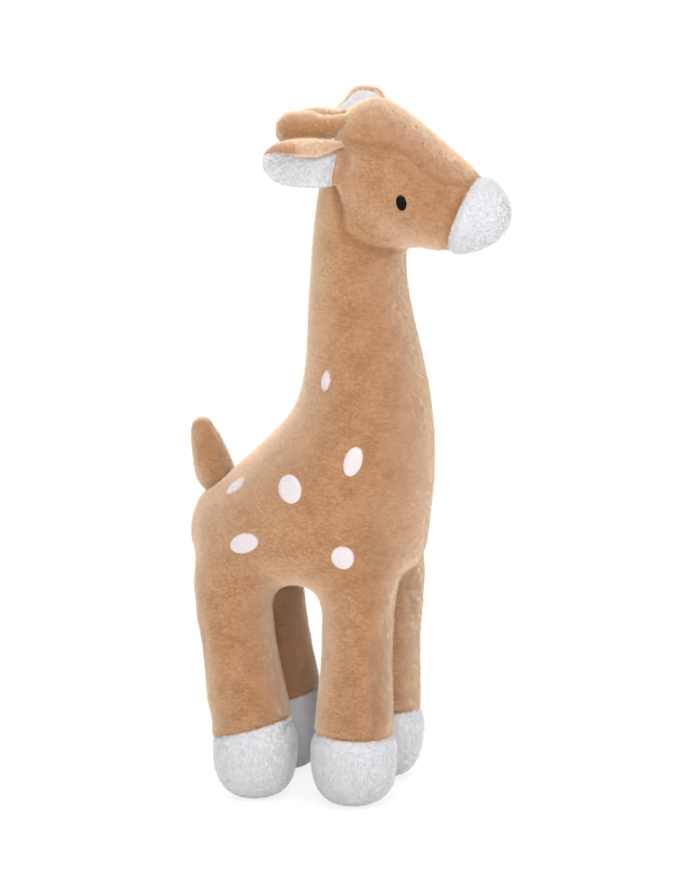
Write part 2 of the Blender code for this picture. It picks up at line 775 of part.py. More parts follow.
def patch(name, surface, share, angle, side, length, width, tilt, layer, colour, pivot=None):
    """An oval patch cut from a thin layer over a skin: its long way upright, then tilted forward."""
    step = 0.01
    middle = surface(share, angle, side)
    one_way = surface(share + step, angle, side) - middle
    other_way = surface(share, angle + step, side) - middle
    normal = one_way.cross(other_way).normalized()
    if normal.x * side < 0:
        normal = -normal
    upward = (Vector((0, 0, 1)) - normal * normal.z).normalized()
    forward = Vector((0, -1, 0))
    forward = (forward - normal * forward.dot(normal) - upward * forward.dot(upward)).normalized()
    long_way = upward * cos(tilt) + forward * sin(tilt)
    short_way = long_way.cross(normal)
    rings = [
        ring(middle + normal * depth, long_way * (length / 2), short_way * (width / 2), SPOT_SIDES)
        for depth in (-OVERRUN, OVERRUN)
    ]
    piece = finished(loft(rings), name, colour, 0.6, pivot)
    cut(piece, layer, "INTERSECT")


trunk_layer = guide(loft(
    trunk_rings(-GAP - THREAD, neck_top, TRUNK_SIDES)
    + trunk_rings(-GAP, neck_top, TRUNK_SIDES)[::-1]
), "trunk_layer")
head_layer = guide(loft(
    head_rings(-GAP - THREAD, 0, HEAD_SIDES) + head_rings(-GAP, 0, HEAD_SIDES)[::-1],
    closed=True,
), "head_layer")

for side, label in SIDES:
    patch(
        f"eye_{label}", head_surface, EYE_SET_BACK / HEAD_LENGTH, EYE_RISE, side,
        EYE_LENGTH, EYE_WIDTH, 0, head_layer, BLACK, NECK_MIDDLE,
    )
    for name, rise, angle, length_share, width_share, tilt in SPOT_SHARES:
        patch(
            f"spot_{name}_{label}", trunk_surface, rise, angle, side,
            SPOT_LENGTH * length_share, SPOT_WIDTH * width_share, tilt, trunk_layer, SPOT_WHITE,
        )
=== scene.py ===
from math import cos, pi, radians, sin, sqrt

import bmesh
import bpy
import numpy as np
from mathutils import Matrix, Vector
from mathutils.bvhtree import BVHTree


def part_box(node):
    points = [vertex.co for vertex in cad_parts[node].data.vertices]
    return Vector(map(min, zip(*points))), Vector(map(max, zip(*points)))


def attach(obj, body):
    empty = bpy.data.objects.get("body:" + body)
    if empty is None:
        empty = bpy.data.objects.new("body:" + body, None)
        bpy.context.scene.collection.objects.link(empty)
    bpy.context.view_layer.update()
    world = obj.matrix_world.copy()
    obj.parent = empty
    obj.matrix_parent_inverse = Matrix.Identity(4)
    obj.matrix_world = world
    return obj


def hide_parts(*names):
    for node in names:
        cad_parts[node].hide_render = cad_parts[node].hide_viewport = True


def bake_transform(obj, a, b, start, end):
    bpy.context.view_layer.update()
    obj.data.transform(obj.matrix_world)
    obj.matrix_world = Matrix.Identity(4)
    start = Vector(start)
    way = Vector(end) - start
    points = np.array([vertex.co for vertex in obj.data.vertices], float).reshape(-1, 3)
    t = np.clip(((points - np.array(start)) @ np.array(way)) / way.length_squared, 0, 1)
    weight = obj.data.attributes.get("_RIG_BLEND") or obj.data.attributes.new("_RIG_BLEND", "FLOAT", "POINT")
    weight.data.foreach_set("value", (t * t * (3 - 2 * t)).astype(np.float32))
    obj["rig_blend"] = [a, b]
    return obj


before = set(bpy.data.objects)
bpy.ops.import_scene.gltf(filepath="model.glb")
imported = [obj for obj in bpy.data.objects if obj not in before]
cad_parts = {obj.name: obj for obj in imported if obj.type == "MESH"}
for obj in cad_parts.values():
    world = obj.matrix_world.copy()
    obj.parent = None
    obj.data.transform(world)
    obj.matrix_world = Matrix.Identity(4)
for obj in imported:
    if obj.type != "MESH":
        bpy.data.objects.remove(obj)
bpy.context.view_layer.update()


# The sewn skin: tan plush panels of body, neck, legs and head, with a white muzzle and white hooves,
# all sewn to one another and packed hard with polyester fibre. It is made whole over the CAD solids,
# so that every panel meets the next one edge to edge, and is then cut apart along its seams.
LEGS = ("front_right", "front_left", "rear_right", "rear_left")
SKIN_MESH = 0.0026       # mesh of the skin while it is stuffed
SKIN_ROUNDS = 14         # of easing, after which no facet shows
SKIN_DEPTH = 0.0021      # how far the cloth lies inside the outline that the pile's tips reach
HOOF_DEPTH = 0.0         # the same for the hooves, whose pile is shorter
MUZZLE_DEPTH = -0.0001   # and for the muzzle


def show(name, form):
    """Puts a bmesh into the scene as a smooth mesh object."""
    mesh = bpy.data.meshes.new(name)
    form.to_mesh(mesh)
    form.free()
    mesh.shade_smooth()
    made = bpy.data.objects.new(name, mesh)
    bpy.context.scene.collection.objects.link(made)
    return made


def settle(made):
    """Applies a piece's modifiers."""
    graph = bpy.context.evaluated_depsgraph_get()
    mesh = bpy.data.meshes.new_from_object(
        made.evaluated_get(graph), preserve_all_data_layers=True, depsgraph=graph
    )
    old = made.data
    made.modifiers.clear()
    made.data = mesh
    bpy.data.meshes.remove(old)
    mesh.name = made.name
    return made


def points(made):
    """A mesh's points as rows."""
    rows = np.zeros(len(made.data.vertices) * 3)
    made.data.vertices.foreach_get("co", rows)
    return rows.reshape(-1, 3)


def normals(made):
    """A mesh's point normals as rows."""
    rows = np.zeros(len(made.data.vertices) * 3)
    made.data.vertex_normals.foreach_get("vector", rows)
    return rows.reshape(-1, 3)


def move_to(made, rows):
    """Moves a mesh's points."""
    made.data.vertices.foreach_set("co", rows.astype(np.float32).ravel())
    made.data.update()


def note(made, name, values):
    """Writes a number or a direction on every point of a mesh."""
    kind = "FLOAT" if values.ndim == 1 else "FLOAT_VECTOR"
    layer = made.data.attributes.get(name) or made.data.attributes.new(name, kind, "POINT")
    field = "value" if kind == "FLOAT" else "vector"
    layer.data.foreach_set(field, values.astype(np.float32).ravel())


def noted(made, name):
    """Reads the numbers written on a mesh's points."""
    values = np.zeros(len(made.data.vertices), np.float32)
    made.data.attributes[name].data.foreach_get("value", values)
    return values.astype(float)


def largest_shell(form):
    """Leaves only a bmesh's largest connected shell."""
    left = set(form.faces)
    shells = []
    while left:
        shell = [left.pop()]
        for face in shell:
            for edge in face.edges:
                for other in edge.link_faces:
                    if other in left:
                        left.discard(other)
                        shell.append(other)
        shells.append(shell)
    shells.sort(key=len)
    spare = [face for shell in shells[:-1] for face in shell]
    bmesh.ops.delete(form, geom=spare, context="FACES")


def ease(form, verts, rounds):
    """Evens out points of a bmesh, a little in each round."""
    for _ in range(rounds):
        bmesh.ops.smooth_vert(
            form, verts=verts, factor=0.5, use_axis_x=True, use_axis_y=True, use_axis_z=True
        )


def cloth_over(name, nodes, mesh, rounds):
    """One closed skin of even mesh over copies of CAD nodes, eased so that no facet shows."""
    form = bmesh.new()
    for node in nodes:
        form.from_mesh(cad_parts[node].data)
    bmesh.ops.remove_doubles(form, verts=form.verts, dist=1e-5)
    made = show(name, form)
    remesh = made.modifiers.new("mesh", "REMESH")
    remesh.mode = "VOXEL"
    remesh.voxel_size = mesh
    settle(made)
    form = bmesh.new()
    form.from_mesh(made.data)
    largest_shell(form)
    ease(form, form.verts, rounds)
    form.to_mesh(made.data)
    form.free()
    made.data.shade_smooth()
    return made


def beside_line(rows, line, width):
    """1 on a sewn line through the given places, falling to 0 over its width."""
    apart = np.full(len(rows), 1.0)
    for start, end in zip(line, line[1:]):
        start, along = np.array(start), np.array(end) - np.array(start)
        share = np.clip(((rows - start) @ along) / (along @ along), 0, 1)
        apart = np.minimum(apart, np.linalg.norm(rows - start - share[:, None] * along, axis=1))
    return np.exp(-((apart / width) ** 2))


def nearness(rows, nodes):
    """Distance of each point to a group of CAD nodes."""
    form = bmesh.new()
    for node in nodes:
        form.from_mesh(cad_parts[node].data)
    tree = BVHTree.FromBMesh(form)
    form.free()
    return np.array([tree.find_nearest(row)[3] for row in rows])


def beside(rows, first, second, width):
    """1 on the seam of two groups of panels, falling to 0 over its width."""
    apart = np.abs(nearness(rows, first) - nearness(rows, second))
    return np.exp(-((apart / width) ** 2))


BODY_PANELS = ["body_panel_right", "body_panel_left"]
HEAD_PANELS = ["head_panel_right", "head_panel_left"]
tan_nodes = BODY_PANELS + HEAD_PANELS
tan_nodes += ["belly_gusset", "body_filling", "forehead_gusset", "head_filling"]
white_nodes = ["muzzle_cap"]
for leg in LEGS:
    tan_nodes += [f"leg_{leg}", f"leg_{leg}_filling"]
    white_nodes.append(f"hoof_{leg}")
skin = cloth_over("skin", tan_nodes + white_nodes, SKIN_MESH, SKIN_ROUNDS)

# The flat seams, each a place and the way that its plane faces. The muzzle's lies square to the head.
# The hooves' are nearly level on the front legs, and rise towards the front on the rear legs.
MUZZLE_SEAM = (Vector((0, -0.0631, 0.3183)), Vector((0, -0.9354, -0.3535)))
HOOF_SEAM_HEIGHT = 0.0394
FRONT_SEAM_TILT, REAR_SEAM_TILT = radians(-2), radians(16)
hoof_seams = {}
for leg in LEGS:
    low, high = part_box(f"hoof_{leg}")
    middle = (low + high) / 2
    tilt = REAR_SEAM_TILT if leg.startswith("rear") else FRONT_SEAM_TILT
    hoof_seams[leg] = (
        Vector((middle.x, middle.y, HOOF_SEAM_HEIGHT)),
        Vector((0, sin(tilt), cos(tilt))),
    )


def past_plane(rows, seam):
    """How far each point lies past a flat seam."""
    return (rows - np.array(seam[0])) @ np.array(seam[1])


def beside_plane(rows, seam, width):
    """1 on a flat seam, falling to 0 over its width."""
    return np.exp(-((past_plane(rows, seam) / width) ** 2))


# Where a leg runs up into the body, the cloth spans the hollow over the hip, and swells a little.
HIP_LOW, HIP_HIGH = 0.098, 0.158          # the band round the toy where it does so
HIP_ASIDE = 0.014                         # how far from the middle that band starts
HIP_ROUNDS = 70                           # of easing
HIP_MIDDLE, HIP_SPREAD = 0.128, 0.016     # height and half width of the swell
HIP_SWELL = 0.0011
form = bmesh.new()
form.from_mesh(skin.data)
haunch = [
    vert for vert in form.verts if HIP_LOW < vert.co.z < HIP_HIGH and abs(vert.co.x) > HIP_ASIDE
]
ease(form, haunch, HIP_ROUNDS)
form.to_mesh(skin.data)
form.free()
rows = points(skin)
swell = np.exp(-(((rows[:, 2] - HIP_MIDDLE) / HIP_SPREAD) ** 2))
swell *= np.abs(rows[:, 0]) > HIP_ASIDE
move_to(skin, rows + normals(skin) * (HIP_SWELL * swell)[:, None])
rows = points(skin)

# The seams of the head: each cheek panel's lower edge, where it is sewn to the neck, and its upper edge
# along the forehead gusset. They are given for the left side and mirrored.
CHEEK_LINE = (
    (0.0228, 0.0047, 0.3347), (0.0238, 0.0010, 0.3287), (0.0240, -0.0011, 0.3228),
    (0.0252, -0.0028, 0.3107), (0.0256, -0.0068, 0.3068), (0.0250, -0.0116, 0.3043),
    (0.0227, -0.0170, 0.3020), (0.0189, -0.0225, 0.2998), (0.0122, -0.0275, 0.2985),
    (0.0060, -0.0300, 0.2980), (0.0, -0.0310, 0.2980),
)
CROWN_LINE = (
    (0.0253, -0.0062, 0.3591), (0.0257, -0.0186, 0.3590), (0.0247, -0.0271, 0.3578),
    (0.0222, -0.0347, 0.3562), (0.0211, -0.0393, 0.3541), (0.0217, -0.0479, 0.3461),
    (0.0197, -0.0578, 0.3399), (0.0154, -0.0659, 0.3379),
)
SEAMS = {  # how wide each seam draws the cloth in, and how hard, as a share of the hardest
    "neck": (0.0026, 1.0), "crown": (0.0020, 0.7), "belly": (0.0022, 0.5), "face": (0.0024, 0.9),
    "foot": (0.0022, 0.9),
}
FACE_LOW, FACE_BACK = 0.285, -0.040             # the face is above and in front of these
FOOT_ASIDE, FOOT_ALONG, FOOT_TOP = 0.030, 0.034, 0.06   # the room round a hoof's seam
FACE_FADE, FOOT_FADE = 0.004, 0.006             # over which the depth of the cloth changes


def both_sides(line):
    """A line of places and its mirror image."""
    return line, tuple((-x, y, z) for x, y, z in line)


def beside_lines(rows, line, width):
    """1 on a sewn line of both sides, falling to 0 over its width."""
    return np.maximum.reduce([beside_line(rows, one, width) for one in both_sides(line)])


def rising(values, start, width):
    """0 up to a value, and 1 from a width past it, which is negative where they rise downwards."""
    return np.clip((values - start) / width, 0, 1)


over_neck = rows[:, 2] > FACE_LOW
foot_seam = np.zeros(len(rows))
for place, way in hoof_seams.values():
    near = np.abs(rows[:, 0] - place.x) < FOOT_ASIDE
    near &= (np.abs(rows[:, 1] - place.y) < FOOT_ALONG) & (rows[:, 2] < FOOT_TOP)
    foot_seam = np.maximum(foot_seam, beside_plane(rows, (place, way), SEAMS["foot"][0]) * near)
face_seam = beside_plane(rows, MUZZLE_SEAM, SEAMS["face"][0]) * over_neck * (rows[:, 1] < FACE_BACK)
sewn = {
    "neck": beside_lines(rows, CHEEK_LINE, SEAMS["neck"][0]),
    "crown": beside_lines(rows, CROWN_LINE, SEAMS["crown"][0]),
    "belly": beside(rows, BODY_PANELS, ["belly_gusset"], SEAMS["belly"][0]),
    "face": face_seam,
    "foot": foot_seam,
}
note(skin, "seam", np.maximum.reduce([SEAMS[name][1] * share for name, share in sewn.items()]))

# The fibre is packed fullest in the backs of the rear legs and in the chest: how far the cloth stands
# out there, which way it faces, and where along the toy, at what top and at what foot it starts, each
# with the width over which it does.
FULLNESS = (
    (0.0035, 1, (0.02, 0.03), (0.170, -0.05), (0.030, 0.020)),
    (0.0022, -1, (-0.015, -0.02), (0.205, -0.035), (0.100, 0.025)),
)
past_face = rising(past_plane(rows, MUZZLE_SEAM), 0, FACE_FADE) * over_neck
past_foot = rising(rows[:, 2], HOOF_SEAM_HEIGHT, -FOOT_FADE)
inset = SKIN_DEPTH + (MUZZLE_DEPTH - SKIN_DEPTH) * past_face + (HOOF_DEPTH - SKIN_DEPTH) * past_foot
for fullness, faces, along, top, foot in FULLNESS:
    packed = np.clip(faces * normals(skin)[:, 1], 0, 1) * rising(rows[:, 1], *along)
    packed *= rising(rows[:, 2], *top) * rising(rows[:, 2], *foot)
    inset = inset - fullness * packed
move_to(skin, rows - normals(skin) * inset[:, None])


def spread_evenly(made, rows, rounds):
    """Shares values on a mesh's points with their neighbours, so that they change softly."""
    ends = np.zeros(len(made.data.edges) * 2, np.int32)
    made.data.edges.foreach_get("vertices", ends)
    first, second = ends.reshape(-1, 2).T
    sharing = 1 + np.bincount(ends, minlength=len(rows))[:, None]
    for _ in range(rounds):
        total = rows.copy()
        np.add.at(total, first, rows[second])
        np.add.at(total, second, rows[first])
        rows = total / sharing
    return rows


# The fibre's push: cloth under pressure, held at the seams.
STUFFING_RISE = 0.0009   # how far it pushes the cloth out between them, at most
STUFFING_PRESSURE = 4
STUFFING_STEPS = 20
SEAM_HOLD = 1.6          # above 1, so that the cloth close beside a seam is held as well
PUSH_ROUNDS, CLOTH_ROUNDS = 8, 3    # of evening out
stitched = skin.vertex_groups.new(name="stitched")
for index, held in enumerate(noted(skin, "seam")):
    stitched.add([index], float(min(1.0, SEAM_HOLD * held)), "REPLACE")
stuffed = skin.modifiers.new("stuffing", "CLOTH")
stuffed.settings.vertex_group_mass = "stitched"
stuffed.settings.use_pressure = True
stuffed.settings.uniform_pressure_force = STUFFING_PRESSURE
stuffed.settings.effector_weights.gravity = 0
stuffed.settings.quality = 4
stuffed.collision_settings.use_collision = False
before = points(skin)
for step in range(1, STUFFING_STEPS + 1):
    bpy.context.scene.frame_set(step)
settle(skin)
bpy.context.scene.frame_set(1)
push = points(skin) - before
far = np.linalg.norm(push, axis=1)
push *= (np.minimum(far, STUFFING_RISE) / np.maximum(far, 1e-9))[:, None]
move_to(skin, before + spread_evenly(skin, push, PUSH_ROUNDS))
skin.vertex_groups.clear()
form = bmesh.new()
form.from_mesh(skin.data)
ease(form, form.verts, CLOTH_ROUNDS)
form.to_mesh(skin.data)
form.free()

fine = skin.modifiers.new("finer", "SUBSURF")
fine.levels = fine.render_levels = 1
settle(skin)
SEAM_DEPTH = 0.0018      # how far the thread pulls the cloth in
STANDING_GAP = 0.0011    # pile pressed flat under the soles
TUCK = 0.0012            # how far the cloth turns in at a cut
rows = points(skin) - normals(skin) * (SEAM_DEPTH * noted(skin, "seam"))[:, None]
rows[:, 2] = np.maximum(rows[:, 2], STANDING_GAP)
move_to(skin, rows)
skin.data.shade_smooth()
note(skin, "outward", normals(skin))


def cut_from(whole, name, planes, keep=None):
    """A copy of the skin inside some planes, each given as a point and the direction that is cut off."""
    form = bmesh.new()
    form.from_mesh(whole.data)
    for place, away in planes:
        bmesh.ops.bisect_plane(
            form,
            geom=list(form.verts) + list(form.edges) + list(form.faces),
            dist=1e-7,
            plane_co=place,
            plane_no=away,
            clear_outer=True,
        )
    if keep:
        spare = [vert for vert in form.verts if not keep(vert.co)]
        bmesh.ops.delete(form, geom=spare, context="VERTS")
    form.normal_update()
    bare = form.verts.layers.float.new("bare")
    rim = [edge for edge in form.edges if edge.is_boundary]
    inward = {vert: vert.normal.copy() for edge in rim for vert in edge.verts}
    turned = bmesh.ops.extrude_edge_only(form, edges=rim)["geom"]
    tucked = [item for item in turned if isinstance(item, bmesh.types.BMVert)]
    for vert in tucked:
        source = min(
            (edge.other_vert(vert) for edge in vert.link_edges if edge.other_vert(vert) in inward),
            key=lambda other: (other.co - vert.co).length,
        )
        vert.co -= inward[source] * TUCK
        vert[bare] = 1
    for edge in rim:
        edge.smooth = False
    bmesh.ops.holes_fill(form, edges=[edge for edge in form.edges if edge.is_boundary], sides=0)
    return show(name, form)


# The pile: cut and brushed polyester fibres that stand off the knitted ground and lie over along its nap.
# One tuft of blades is planted all over a piece. Each blade turns its broad side outward, and takes
# its shading from the cloth under it, as a dense pile does.
PILE_LENGTH = 0.0024
PILE_WIDTH = 0.00026
CLUMP = 0.0007           # how far apart the blades of one tuft stand
TUFTS = 1.15e6           # per square metre
ROOT_DEPTH = 0.0004      # how far a blade goes down into the ground
TURN, NOD, SWAY = 0.45, 0.25, 0.35      # how far the blades of a tuft turn and lean, in radians
STAND, LAY, STRAY = 0.8, 0.75, 0.28     # how much the pile stands up, lies over and strays


def node(tree, kind, inputs=(), **settings):
    """Adds a node to a tree, sets it, and joins or sets its inputs."""
    made = tree.nodes.new(kind)
    for key, value in settings.items():
        setattr(made, key, value)
    for key, value in dict(inputs).items():
        socket = next(
            s for i, s in enumerate(made.inputs) if s.enabled and (s.name == key or i == key)
        )
        for one in value if isinstance(value, list) else [value]:
            if isinstance(one, bpy.types.Node):
                one = next(s for s in one.outputs if s.enabled)
            if isinstance(one, bpy.types.NodeSocket):
                tree.links.new(one, socket)
            else:
                socket.default_value = one
    return made


def tuft(name, blades, seed):
    """Blades that share a root and fan out, each a little different, their broad sides towards +Y."""
    chance = np.random.default_rng(seed)
    form = bmesh.new()
    for _ in range(blades):
        size = PILE_LENGTH * chance.uniform(0.6, 1.1)
        aside, along = chance.uniform(-1, 1) * CLUMP, chance.uniform(-1, 1) * CLUMP
        sprout = Matrix.Translation((aside, along, size / 3 - ROOT_DEPTH))
        turn = Matrix.Rotation(chance.uniform(-TURN, TURN), 4, "Z")
        lean = Matrix.Rotation(chance.uniform(-NOD, NOD), 4, "X")
        lean = lean @ Matrix.Rotation(chance.uniform(-SWAY, SWAY), 4, "Y")
        stretch = Matrix.Diagonal((PILE_WIDTH / 1.73, 1, size / 1.5, 1))
        upright = Matrix.Rotation(pi / 2, 4, "X") @ Matrix.Rotation(pi / 2, 4, "Z")
        bmesh.ops.create_circle(
            form, cap_ends=True, segments=3, radius=1, matrix=sprout @ turn @ lean @ stretch @ upright
        )
    form.normal_update()
    bmesh.ops.reverse_faces(form, faces=[face for face in form.faces if face.normal.y < 0])
    made = show(name, form)
    note(made, "tip", np.clip(points(made)[:, 2] / PILE_LENGTH, 0, 1))
    return made


def grow_pile(made, fibres, grain, seed):
    """Plants a tuft all over a piece, thick and long as its notes say."""
    tree = bpy.data.node_groups.new("pile", "GeometryNodeTree")
    tree.interface.new_socket("Geometry", in_out="INPUT", socket_type="NodeSocketGeometry")
    tree.interface.new_socket("Geometry", in_out="OUTPUT", socket_type="NodeSocketGeometry")
    cloth = node(tree, "NodeGroupInput")
    thick = node(tree, "GeometryNodeInputNamedAttribute", {"Name": "pile"}, data_type="FLOAT")
    density = node(tree, "ShaderNodeMath", {0: thick, 1: TUFTS}, operation="MULTIPLY")
    roots = node(
        tree, "GeometryNodeDistributePointsOnFaces",
        {"Mesh": cloth, "Density": density, "Seed": seed},
    )
    outward = node(
        tree, "GeometryNodeInputNamedAttribute", {"Name": "outward"}, data_type="FLOAT_VECTOR"
    )
    nap = node(tree, "GeometryNodeInputNamedAttribute", {"Name": "nap"}, data_type="FLOAT_VECTOR")
    up = node(tree, "ShaderNodeVectorMath", {0: outward, "Scale": STAND}, operation="SCALE")
    over = node(tree, "ShaderNodeVectorMath", {0: nap, "Scale": LAY}, operation="SCALE")
    loose = node(
        tree, "FunctionNodeRandomValue",
        {"Min": (-STRAY,) * 3, "Max": (STRAY,) * 3, "Seed": seed + 1}, data_type="FLOAT_VECTOR",
    )
    both = node(tree, "ShaderNodeVectorMath", {0: up, 1: over}, operation="ADD")
    way = node(tree, "ShaderNodeVectorMath", {0: both, 1: loose}, operation="ADD")
    aim = node(tree, "FunctionNodeAlignRotationToVector", {"Vector": way}, axis="Z")
    facing = node(
        tree, "FunctionNodeAlignRotationToVector", {"Rotation": aim, "Vector": outward},
        axis="Y", pivot_axis="Z",
    )
    size = node(
        tree, "FunctionNodeRandomValue", {"Min": 0.8, "Max": 1.15, "Seed": seed + 3},
        data_type="FLOAT",
    )
    length = node(tree, "GeometryNodeInputNamedAttribute", {"Name": "length"}, data_type="FLOAT")
    scale = node(tree, "ShaderNodeMath", {0: size, 1: length}, operation="MULTIPLY")
    source = node(tree, "GeometryNodeObjectInfo", {"Object": fibres})
    tone = node(
        tree, "FunctionNodeRandomValue", {"Min": 0.0, "Max": 1.0, "Seed": seed + 4},
        data_type="FLOAT",
    )
    toned = node(
        tree, "GeometryNodeStoreNamedAttribute", {"Geometry": roots, "Name": "shade", "Value": tone},
        data_type="FLOAT", domain="POINT",
    )
    planted = node(
        tree, "GeometryNodeInstanceOnPoints",
        {
            "Points": toned, "Instance": source.outputs["Geometry"], "Rotation": facing,
            "Scale": scale,
        },
    )
    real = node(tree, "GeometryNodeRealizeInstances", {"Geometry": planted})
    facet = node(tree, "GeometryNodeInputNormal")
    own = node(tree, "ShaderNodeVectorMath", {0: facet, "Scale": grain}, operation="SCALE")
    soft = node(tree, "ShaderNodeVectorMath", {0: outward, 1: own}, operation="ADD")
    soft = node(tree, "ShaderNodeVectorMath", {0: soft}, operation="NORMALIZE")
    shaded = node(
        tree, "GeometryNodeSetMeshNormal", {"Mesh": real, "Custom Normal": soft},
        mode="FREE", domain="POINT",
    )
    ground = node(
        tree, "GeometryNodeSetMeshNormal", {"Mesh": cloth, "Custom Normal": outward},
        mode="FREE", domain="POINT",
    )
    joined = node(
        tree, "GeometryNodeJoinGeometry", {"Geometry": [ground.outputs[0], shaded.outputs[0]]}
    )
    for spent in ("nap", "pile", "length", "outward", "bare"):
        joined = node(tree, "GeometryNodeRemoveAttribute", {"Geometry": joined, "Name": spent})
    node(tree, "NodeGroupOutput", {"Geometry": joined})
    grown = made.modifiers.new("pile", "NODES")
    grown.node_group = tree
    settle(made)
    bpy.data.node_groups.remove(tree)
    return made


def linear(code):
    """An sRGB hex colour as a linear one."""
    parts = [int(code[i:i + 2], 16) / 255 for i in (0, 2, 4)]
    return tuple(p / 12.92 if p <= 0.04045 else ((p + 0.055) / 1.055) ** 2.4 for p in parts) + (1,)


RIPPLE = (0.0040, 0.0040, 0.0013)   # length, length and height of the ripples that part the pile
CLOUD = 0.013                       # size of the wider clouds of tone


def plush(name, root, face, tip, glow, painted_rim_sheen, mottling, seed):
    """Short-pile polyester plush (minky): a knit whose loops are cut and brushed, so that the fibres' ends
    make a soft, matt face. Its colour is painted darker down towards the roots, as painted shade deep in the
    pile, and where the pile parts in short level ripples. It is painted darker along the seams, as painted
    shade in their creases, and a painted sheen makes it paler where the surface turns away from the camera,
    besides the real sheen of its fibres."""
    material = bpy.data.materials.new(name)
    material.use_nodes = True
    tree = material.node_tree
    tree.nodes.clear()
    place = node(tree, "ShaderNodeTexCoord").outputs["Object"]
    ripples = node(
        tree, "ShaderNodeMapping",
        {"Vector": place, "Scale": tuple(1 / size for size in RIPPLE), "Location": (seed, 0, 0)},
    )
    parting = node(
        tree, "ShaderNodeTexNoise",
        {"Vector": ripples, "Scale": 1.0, "Detail": 3.0, "Roughness": 0.6},
    )
    clouds = node(
        tree, "ShaderNodeTexNoise",
        {"Vector": place, "Scale": 1 / CLOUD, "Detail": 4.0, "Roughness": 0.6},
    )
    height = node(tree, "ShaderNodeAttribute", attribute_name="tip")
    shade = node(tree, "ShaderNodeAttribute", attribute_name="shade")
    seam = node(tree, "ShaderNodeAttribute", attribute_name="seam")
    # Painted shade deep in the pile: each blade's colour runs from the dark root tone at the ground up to
    # the face tone, and towards the pale tip tone only near its tip.
    rise = node(
        tree, "ShaderNodeMath", {0: height.outputs["Fac"], 1: 1.5},
        operation="MULTIPLY", use_clamp=True,
    )
    low = node(
        tree, "ShaderNodeMix", {"Factor": rise, "A": linear(root), "B": linear(face)},
        data_type="RGBA",
    )
    mottle = node(
        tree, "ShaderNodeMath", {0: parting.outputs["Fac"], 1: clouds.outputs["Fac"]},
        operation="ADD",
    )
    spread = node(
        tree, "ShaderNodeMapRange",
        {"Value": mottle, "From Min": 0.78, "From Max": 1.30, "To Min": 0.0, "To Max": mottling},
    )
    own = node(
        tree, "ShaderNodeMath", {0: shade.outputs["Fac"], 1: 0.6 * mottling}, operation="MULTIPLY"
    )
    bright = node(tree, "ShaderNodeMath", {0: spread, 1: own}, operation="ADD", use_clamp=True)
    lit = node(tree, "ShaderNodeMath", {0: bright, 1: rise}, operation="MULTIPLY", use_clamp=True)
    colour = node(
        tree, "ShaderNodeMix", {"Factor": lit, "A": low.outputs[2], "B": linear(tip)},
        data_type="RGBA",
    )
    # Painted sheen: the colour is mixed towards the pale glow tone where the surface turns away from the
    # camera, on top of the real sheen of the shader below.
    turned = node(tree, "ShaderNodeLayerWeight", {"Blend": 0.5}).outputs["Facing"]
    sheen_paint_share = node(tree, "ShaderNodeMath", {0: turned, 1: 1.4}, operation="POWER")
    sheen_paint_share = node(tree, "ShaderNodeMath", {0: sheen_paint_share, 1: painted_rim_sheen}, operation="MULTIPLY", use_clamp=True)
    colour = node(
        tree, "ShaderNodeMix", {"Factor": sheen_paint_share, "A": colour.outputs[2], "B": linear(glow)},
        data_type="RGBA",
    )
    # Painted shade along the seams: the colour is drawn towards the dark root tone where the thread pulls
    # the cloth in.
    painted_seam_shade = node(
        tree, "ShaderNodeMath", {0: seam.outputs["Fac"], 1: 0.6},
        operation="MULTIPLY", use_clamp=True,
    )
    sewn = node(
        tree, "ShaderNodeMix", {"Factor": painted_seam_shade, "A": colour.outputs[2], "B": linear(root)},
        data_type="RGBA",
    )
    shader = node(
        tree, "ShaderNodeBsdfPrincipled",
        {
            "Base Color": sewn.outputs[2], "Roughness": 0.95, "Specular IOR Level": 0.1,
            "Sheen Weight": 1.0, "Sheen Roughness": 0.4, "Sheen Tint": linear(glow),
        },
    )
    node(tree, "ShaderNodeOutputMaterial", {"Surface": shader})
    return material


# glow is the colour of the painted sheen and the tint of the real sheen; root is the dark tone of the
# painted shade at the roots and in the seams.
tan_plush = plush(
    "tan_minky_plush", root="875c3a", face="b1835e", tip="e0ba94", glow="ffe6cb",
    painted_rim_sheen=1.15, mottling=0.95, seed=0.0,
)
white_plush = plush(
    "white_minky_plush", root="bcbbbe", face="c3c2c5", tip="cccbcc", glow="e2e2e3",
    painted_rim_sheen=0.4, mottling=0.25, seed=3.0,
)
TUFT = tuft("tuft", blades=7, seed=7)


def upholster(made, material, lie, seed, length=1.0, grain=0.45):
    """Notes the nap and the pile on a piece, and grows it."""
    up = normals(made)
    way = np.broadcast_to(np.array(lie, float), up.shape)
    way = way - (way * up).sum(1)[:, None] * up
    way /= np.maximum(np.linalg.norm(way, axis=1), 1e-6)[:, None]
    note(made, "nap", way)
    layers = made.data.attributes
    if not layers.get("outward"):
        note(made, "outward", up)
    bare = noted(made, "bare") if layers.get("bare") else np.zeros(len(up))
    seam = noted(made, "seam") if layers.get("seam") else np.zeros(len(up))
    if not layers.get("seam"):
        note(made, "seam", seam)
    note(made, "pile", np.clip((1 - bare) * (1 - 0.15 * seam), 0, 2))
    note(made, "length", np.clip(length * (1 - 0.1 * seam) * (1 - 0.5 * bare), 0.1, 2))
    # The ground under the pile takes nearly the dark root tone, painted shade deep in the pile, and a
    # middling random tone.
    note(made, "tip", np.full(len(up), 0.1))
    note(made, "shade", np.full(len(up), 0.4))
    TUFT.data.materials.clear()
    TUFT.data.materials.append(material)
    made.data.materials.clear()
    made.data.materials.append(material)
    grow_pile(made, TUFT, grain, seed)
    return made


